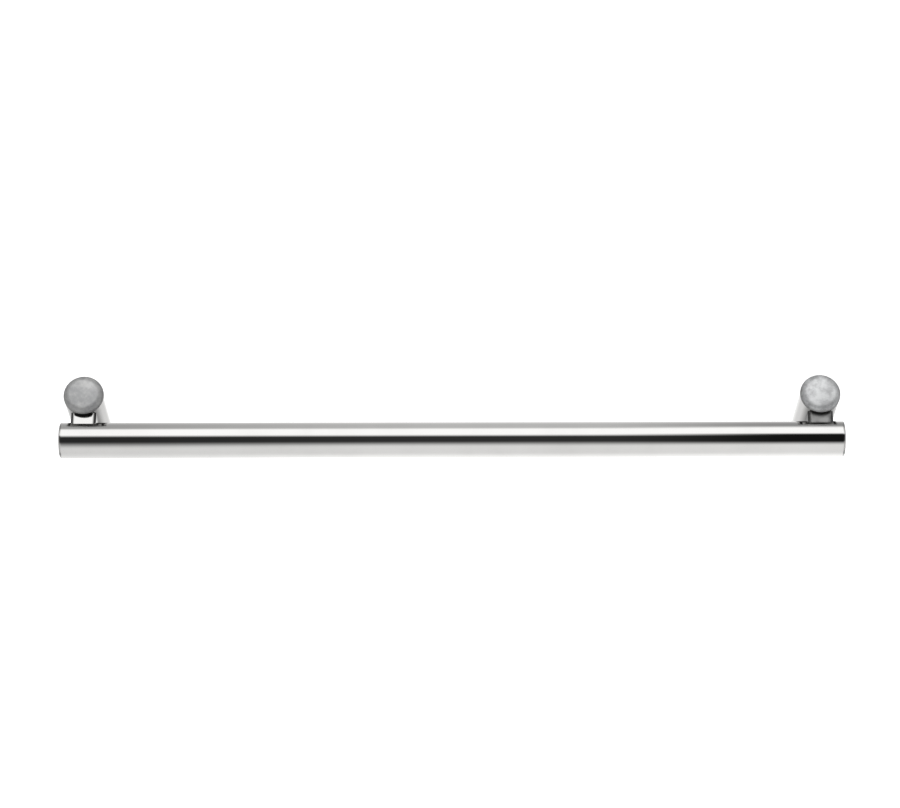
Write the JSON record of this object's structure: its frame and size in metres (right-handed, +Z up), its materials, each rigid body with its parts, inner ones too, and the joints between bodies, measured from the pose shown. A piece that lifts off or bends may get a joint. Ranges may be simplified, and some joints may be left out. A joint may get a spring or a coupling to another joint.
{
  "type": "grab rail",
  "caption": "Straight round steel tube rail held beside two cylindrical stand-off posts with satin round faces, bolted up through its feet.",
  "frame": {"origin": "midway between the two feet, on the face they stand on", "axes": "+X along the rail, towards the right-hand post; +Z up the posts, away from the panel; the rail lies on the -Y side of the posts"},
  "size_m": [0.56, 0.057, 0.064],
  "materials": {
    "polished_steel": "mirror polished stainless tube",
    "satin_steel": "satin, turned",
    "plain_steel": "machined",
    "screw_steel": "rolled thread, plain",
    "black_rubber": "smooth",
    "gasket_rubber": "matt"
  },
  "bodies": {
    "root": {"rail_tube": "polished_steel", "end_cap_left": "polished_steel", "end_cap_right": "polished_steel", "end_cap_seal_left": "black_rubber", "end_cap_seal_right": "black_rubber", "saddle_nut_left": "plain_steel", "saddle_nut_right": "plain_steel", "joint_screw_left": "screw_steel", "joint_screw_right": "screw_steel", "saddle_washer_left": "plain_steel", "saddle_washer_right": "plain_steel", "spacer_left": "polished_steel", "spacer_right": "polished_steel", "post_left": "polished_steel", "post_right": "polished_steel", "face_cap_left": "satin_steel", "face_cap_right": "satin_steel", "face_cap_seal_left": "black_rubber", "face_cap_seal_right": "black_rubber", "base_boss_left": "plain_steel", "base_boss_right": "plain_steel", "base_gasket_left": "gasket_rubber", "base_gasket_right": "gasket_rubber"}
  },
  "joints": []
}
